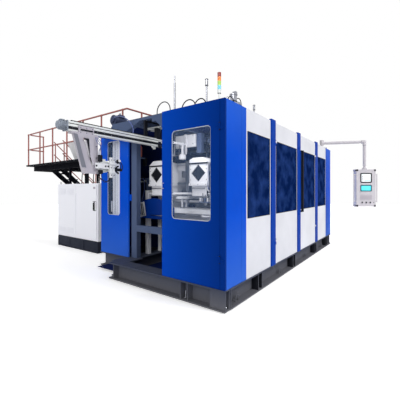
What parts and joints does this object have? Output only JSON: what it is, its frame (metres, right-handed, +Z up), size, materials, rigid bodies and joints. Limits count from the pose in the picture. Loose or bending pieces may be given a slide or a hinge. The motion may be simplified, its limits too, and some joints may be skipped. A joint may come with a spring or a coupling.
{
  "type": "blow moulding machine",
  "caption": "Extrusion blow moulding machine with guarded mould stations, take-out beam, walkway and swing-arm control panel.",
  "frame": {"origin": "on the floor, at the centre of the levelling pad below the die head", "axes": "+X along the operator side away from the take-out end, +Y to the rear towards the extruder, +Z up"},
  "size_m": [7.37, 10.1478, 4.07],
  "materials": {
    "base_paint": "semi-gloss paint",
    "black_steel": "satin black",
    "frame_paint": "satin grey paint",
    "guard_blue": "gloss blue powder coat",
    "guard_white": "gloss white powder coat",
    "tinted_glass": "tinted",
    "clear_glass": "clear",
    "profile_aluminium": "anodised",
    "grey_cast": "cast housing paint",
    "machine_white": "machine enamel",
    "hose_rubber": "matt",
    "lens_red": "translucent",
    "lens_amber": "translucent",
    "lens_green": "translucent",
    "lens_blue": "translucent",
    "bright_steel": "machined",
    "mould_aluminium": "milled",
    "bin_paint": "light grey paint",
    "platform_paint": "semi-gloss black",
    "rail_red": "gloss red",
    "cabinet_paint": "light grey powder coat",
    "screen_glass": "lit display"
  },
  "bodies": {
    "machine": {"base_frame": "base_paint", "levelling_feet": "black_steel", "machine_frame": "frame_paint", "corner_guards": "guard_blue", "front_strips": "guard_blue", "fixed_panels": "guard_white", "fixed_panes": "tinted_glass", "guard_column": "guard_blue", "column_pane": "clear_glass", "rear_panels": "guard_white", "far_end_panel": "guard_blue", "roof_covers": "black_steel", "take_out_beam": "profile_aluminium", "beam_drive": "grey_cast", "roof_motor": "grey_cast", "roof_hoses": "hose_rubber", "tower_light": "profile_aluminium", "tower_lens_red": "lens_red", "tower_lens_amber": "lens_amber", "tower_lens_green": "lens_green", "tower_lens_blue": "lens_blue", "trim_bed": "bright_steel", "drive_cover": "guard_blue", "station_rails": "frame_paint", "die_head": "bright_steel", "extruder": "machine_white", "material_bin": "bin_paint", "platform": "platform_paint", "handrails": "rail_red", "stairs": "platform_paint", "cabinet": "cabinet_paint"},
    "left_front_door": {"front_door_left": "guard_white", "front_pane_left": "tinted_glass"},
    "right_front_door": {"front_door_right": "guard_white", "front_pane_right": "tinted_glass", "door_pull": "black_steel"},
    "near_end_door": {"end_door": "guard_blue", "end_pane": "clear_glass", "end_handle": "guard_white"},
    "take_out": {"take_out_carriage": "machine_white", "gripper": "profile_aluminium"},
    "front_finger": {"finger_front": "black_steel"},
    "rear_finger": {"finger_rear": "black_steel"},
    "front_nest": {"nest_front": "machine_white"},
    "rear_nest": {"nest_rear": "machine_white"},
    "hold_down_cylinder": {"hold_down": "bright_steel"},
    "left_carriage": {"carriage_left": "machine_white"},
    "right_carriage": {"carriage_right": "machine_white"},
    "left_front_mould": {"mould_left_front": "mould_aluminium"},
    "left_rear_mould": {"mould_left_rear": "mould_aluminium"},
    "right_front_mould": {"mould_right_front": "mould_aluminium"},
    "right_rear_mould": {"mould_right_rear": "mould_aluminium"},
    "left_blow_unit": {"blow_unit_left": "bright_steel"},
    "right_blow_unit": {"blow_unit_right": "bright_steel"},
    "cabinet_leaf": {"cabinet_door": "cabinet_paint"},
    "door_handle": {"cabinet_handle": "black_steel"},
    "panel_arm": {"arm": "cabinet_paint"},
    "operator_panel": {"control_panel": "cabinet_paint", "panel_screens": "screen_glass"},
    "push_buttons": {"panel_buttons": "black_steel"}
  },
  "joints": [
    {"name": "left_front_door_hinge", "type": "hinge", "parent": "machine", "child": "left_front_door", "pos_m": [-1.31, -1.612, 1.5], "axis": [0, 0, -1], "range_deg": [0, 100]},
    {"name": "right_front_door_hinge", "type": "hinge", "parent": "machine", "child": "right_front_door", "pos_m": [1.31, -1.612, 1.5], "axis": [0, 0, 1], "range_deg": [0, 100]},
    {"name": "end_door_hinge", "type": "hinge", "parent": "machine", "child": "near_end_door", "pos_m": [-3.012, -1.522, 1.5], "axis": [0, 0, 1], "range_deg": [0, 100]},
    {"name": "take_out_slide", "type": "slide", "parent": "machine", "child": "take_out", "axis": [1, 0, 0], "range_m": [0, 1.15]},
    {"name": "finger_slide", "type": "slide", "parent": "take_out", "child": "front_finger", "axis": [0, 1, 0], "range_m": [0, 0.025]},
    {"name": "rear_finger_slide", "type": "slide", "parent": "take_out", "child": "rear_finger", "axis": [0, -1, 0], "range_m": [0, 0.025]},
    {"name": "nest_slide", "type": "slide", "parent": "machine", "child": "front_nest", "axis": [0, -1, 0], "range_m": [-0.2, 0]},
    {"name": "rear_nest_slide", "type": "slide", "parent": "machine", "child": "rear_nest", "axis": [0, 1, 0], "range_m": [-0.2, 0]},
    {"name": "hold_down_slide", "type": "slide", "parent": "machine", "child": "hold_down_cylinder", "axis": [0, 0, -1], "range_m": [0, 0.12]},
    {"name": "carriage_shuttle", "type": "slide", "parent": "machine", "child": "left_carriage", "axis": [1, 0, 0], "range_m": [0, 1.15]},
    {"name": "right_carriage_shuttle", "type": "slide", "parent": "machine", "child": "right_carriage", "axis": [1, 0, 0], "range_m": [0, 1.15]},
    {"name": "left_mould_slide", "type": "slide", "parent": "left_carriage", "child": "left_front_mould", "axis": [0, -1, 0], "range_m": [0, 0.23]},
    {"name": "left_rear_mould_slide", "type": "slide", "parent": "left_carriage", "child": "left_rear_mould", "axis": [0, 1, 0], "range_m": [0, 0.23]},
    {"name": "right_mould_slide", "type": "slide", "parent": "right_carriage", "child": "right_front_mould", "axis": [0, -1, 0], "range_m": [0, 0.23]},
    {"name": "right_rear_mould_slide", "type": "slide", "parent": "right_carriage", "child": "right_rear_mould", "axis": [0, 1, 0], "range_m": [0, 0.23]},
    {"name": "left_blow_slide", "type": "slide", "parent": "machine", "child": "left_blow_unit", "axis": [0, 0, -1], "range_m": [0, 0.14]},
    {"name": "right_blow_slide", "type": "slide", "parent": "machine", "child": "right_blow_unit", "axis": [0, 0, -1], "range_m": [0, 0.14]},
    {"name": "arm_swivel", "type": "hinge", "parent": "machine", "child": "panel_arm", "pos_m": [2.33, -1.52, 2.9], "axis": [0, 0, 1], "range_deg": [-15, 60]},
    {"name": "panel_swivel", "type": "hinge", "parent": "panel_arm", "child": "operator_panel", "pos_m": [2.77334, -2.51577, 2.5], "axis": [0, 0, 1], "range_deg": [-60, 60]},
    {"name": "button_press", "type": "slide", "parent": "operator_panel", "child": "push_buttons", "axis": [0.8018, 0.5976, 0], "range_m": [0, 0.006], "stiffness_N_per_m": 500},
    {"name": "cabinet_door_hinge", "type": "hinge", "parent": "machine", "child": "cabinet_leaf", "pos_m": [-1.952, 3.812, 1], "axis": [0, 0, -1], "range_deg": [0, 100]},
    {"name": "cabinet_handle_turn", "type": "hinge", "parent": "cabinet_leaf", "child": "door_handle", "pos_m": [-1.96, 2.94, 1.27], "axis": [1, 0, 0], "range_deg": [0, 90]}
  ],
  "couplings": [
    {"joint": "rear_finger_slide", "follows": "finger_slide", "ratio": 1},
    {"joint": "rear_nest_slide", "follows": "nest_slide", "ratio": 1},
    {"joint": "right_carriage_shuttle", "follows": "carriage_shuttle", "ratio": 1},
    {"joint": "left_rear_mould_slide", "follows": "left_mould_slide", "ratio": 1},
    {"joint": "right_rear_mould_slide", "follows": "right_mould_slide", "ratio": 1}
  ]
}
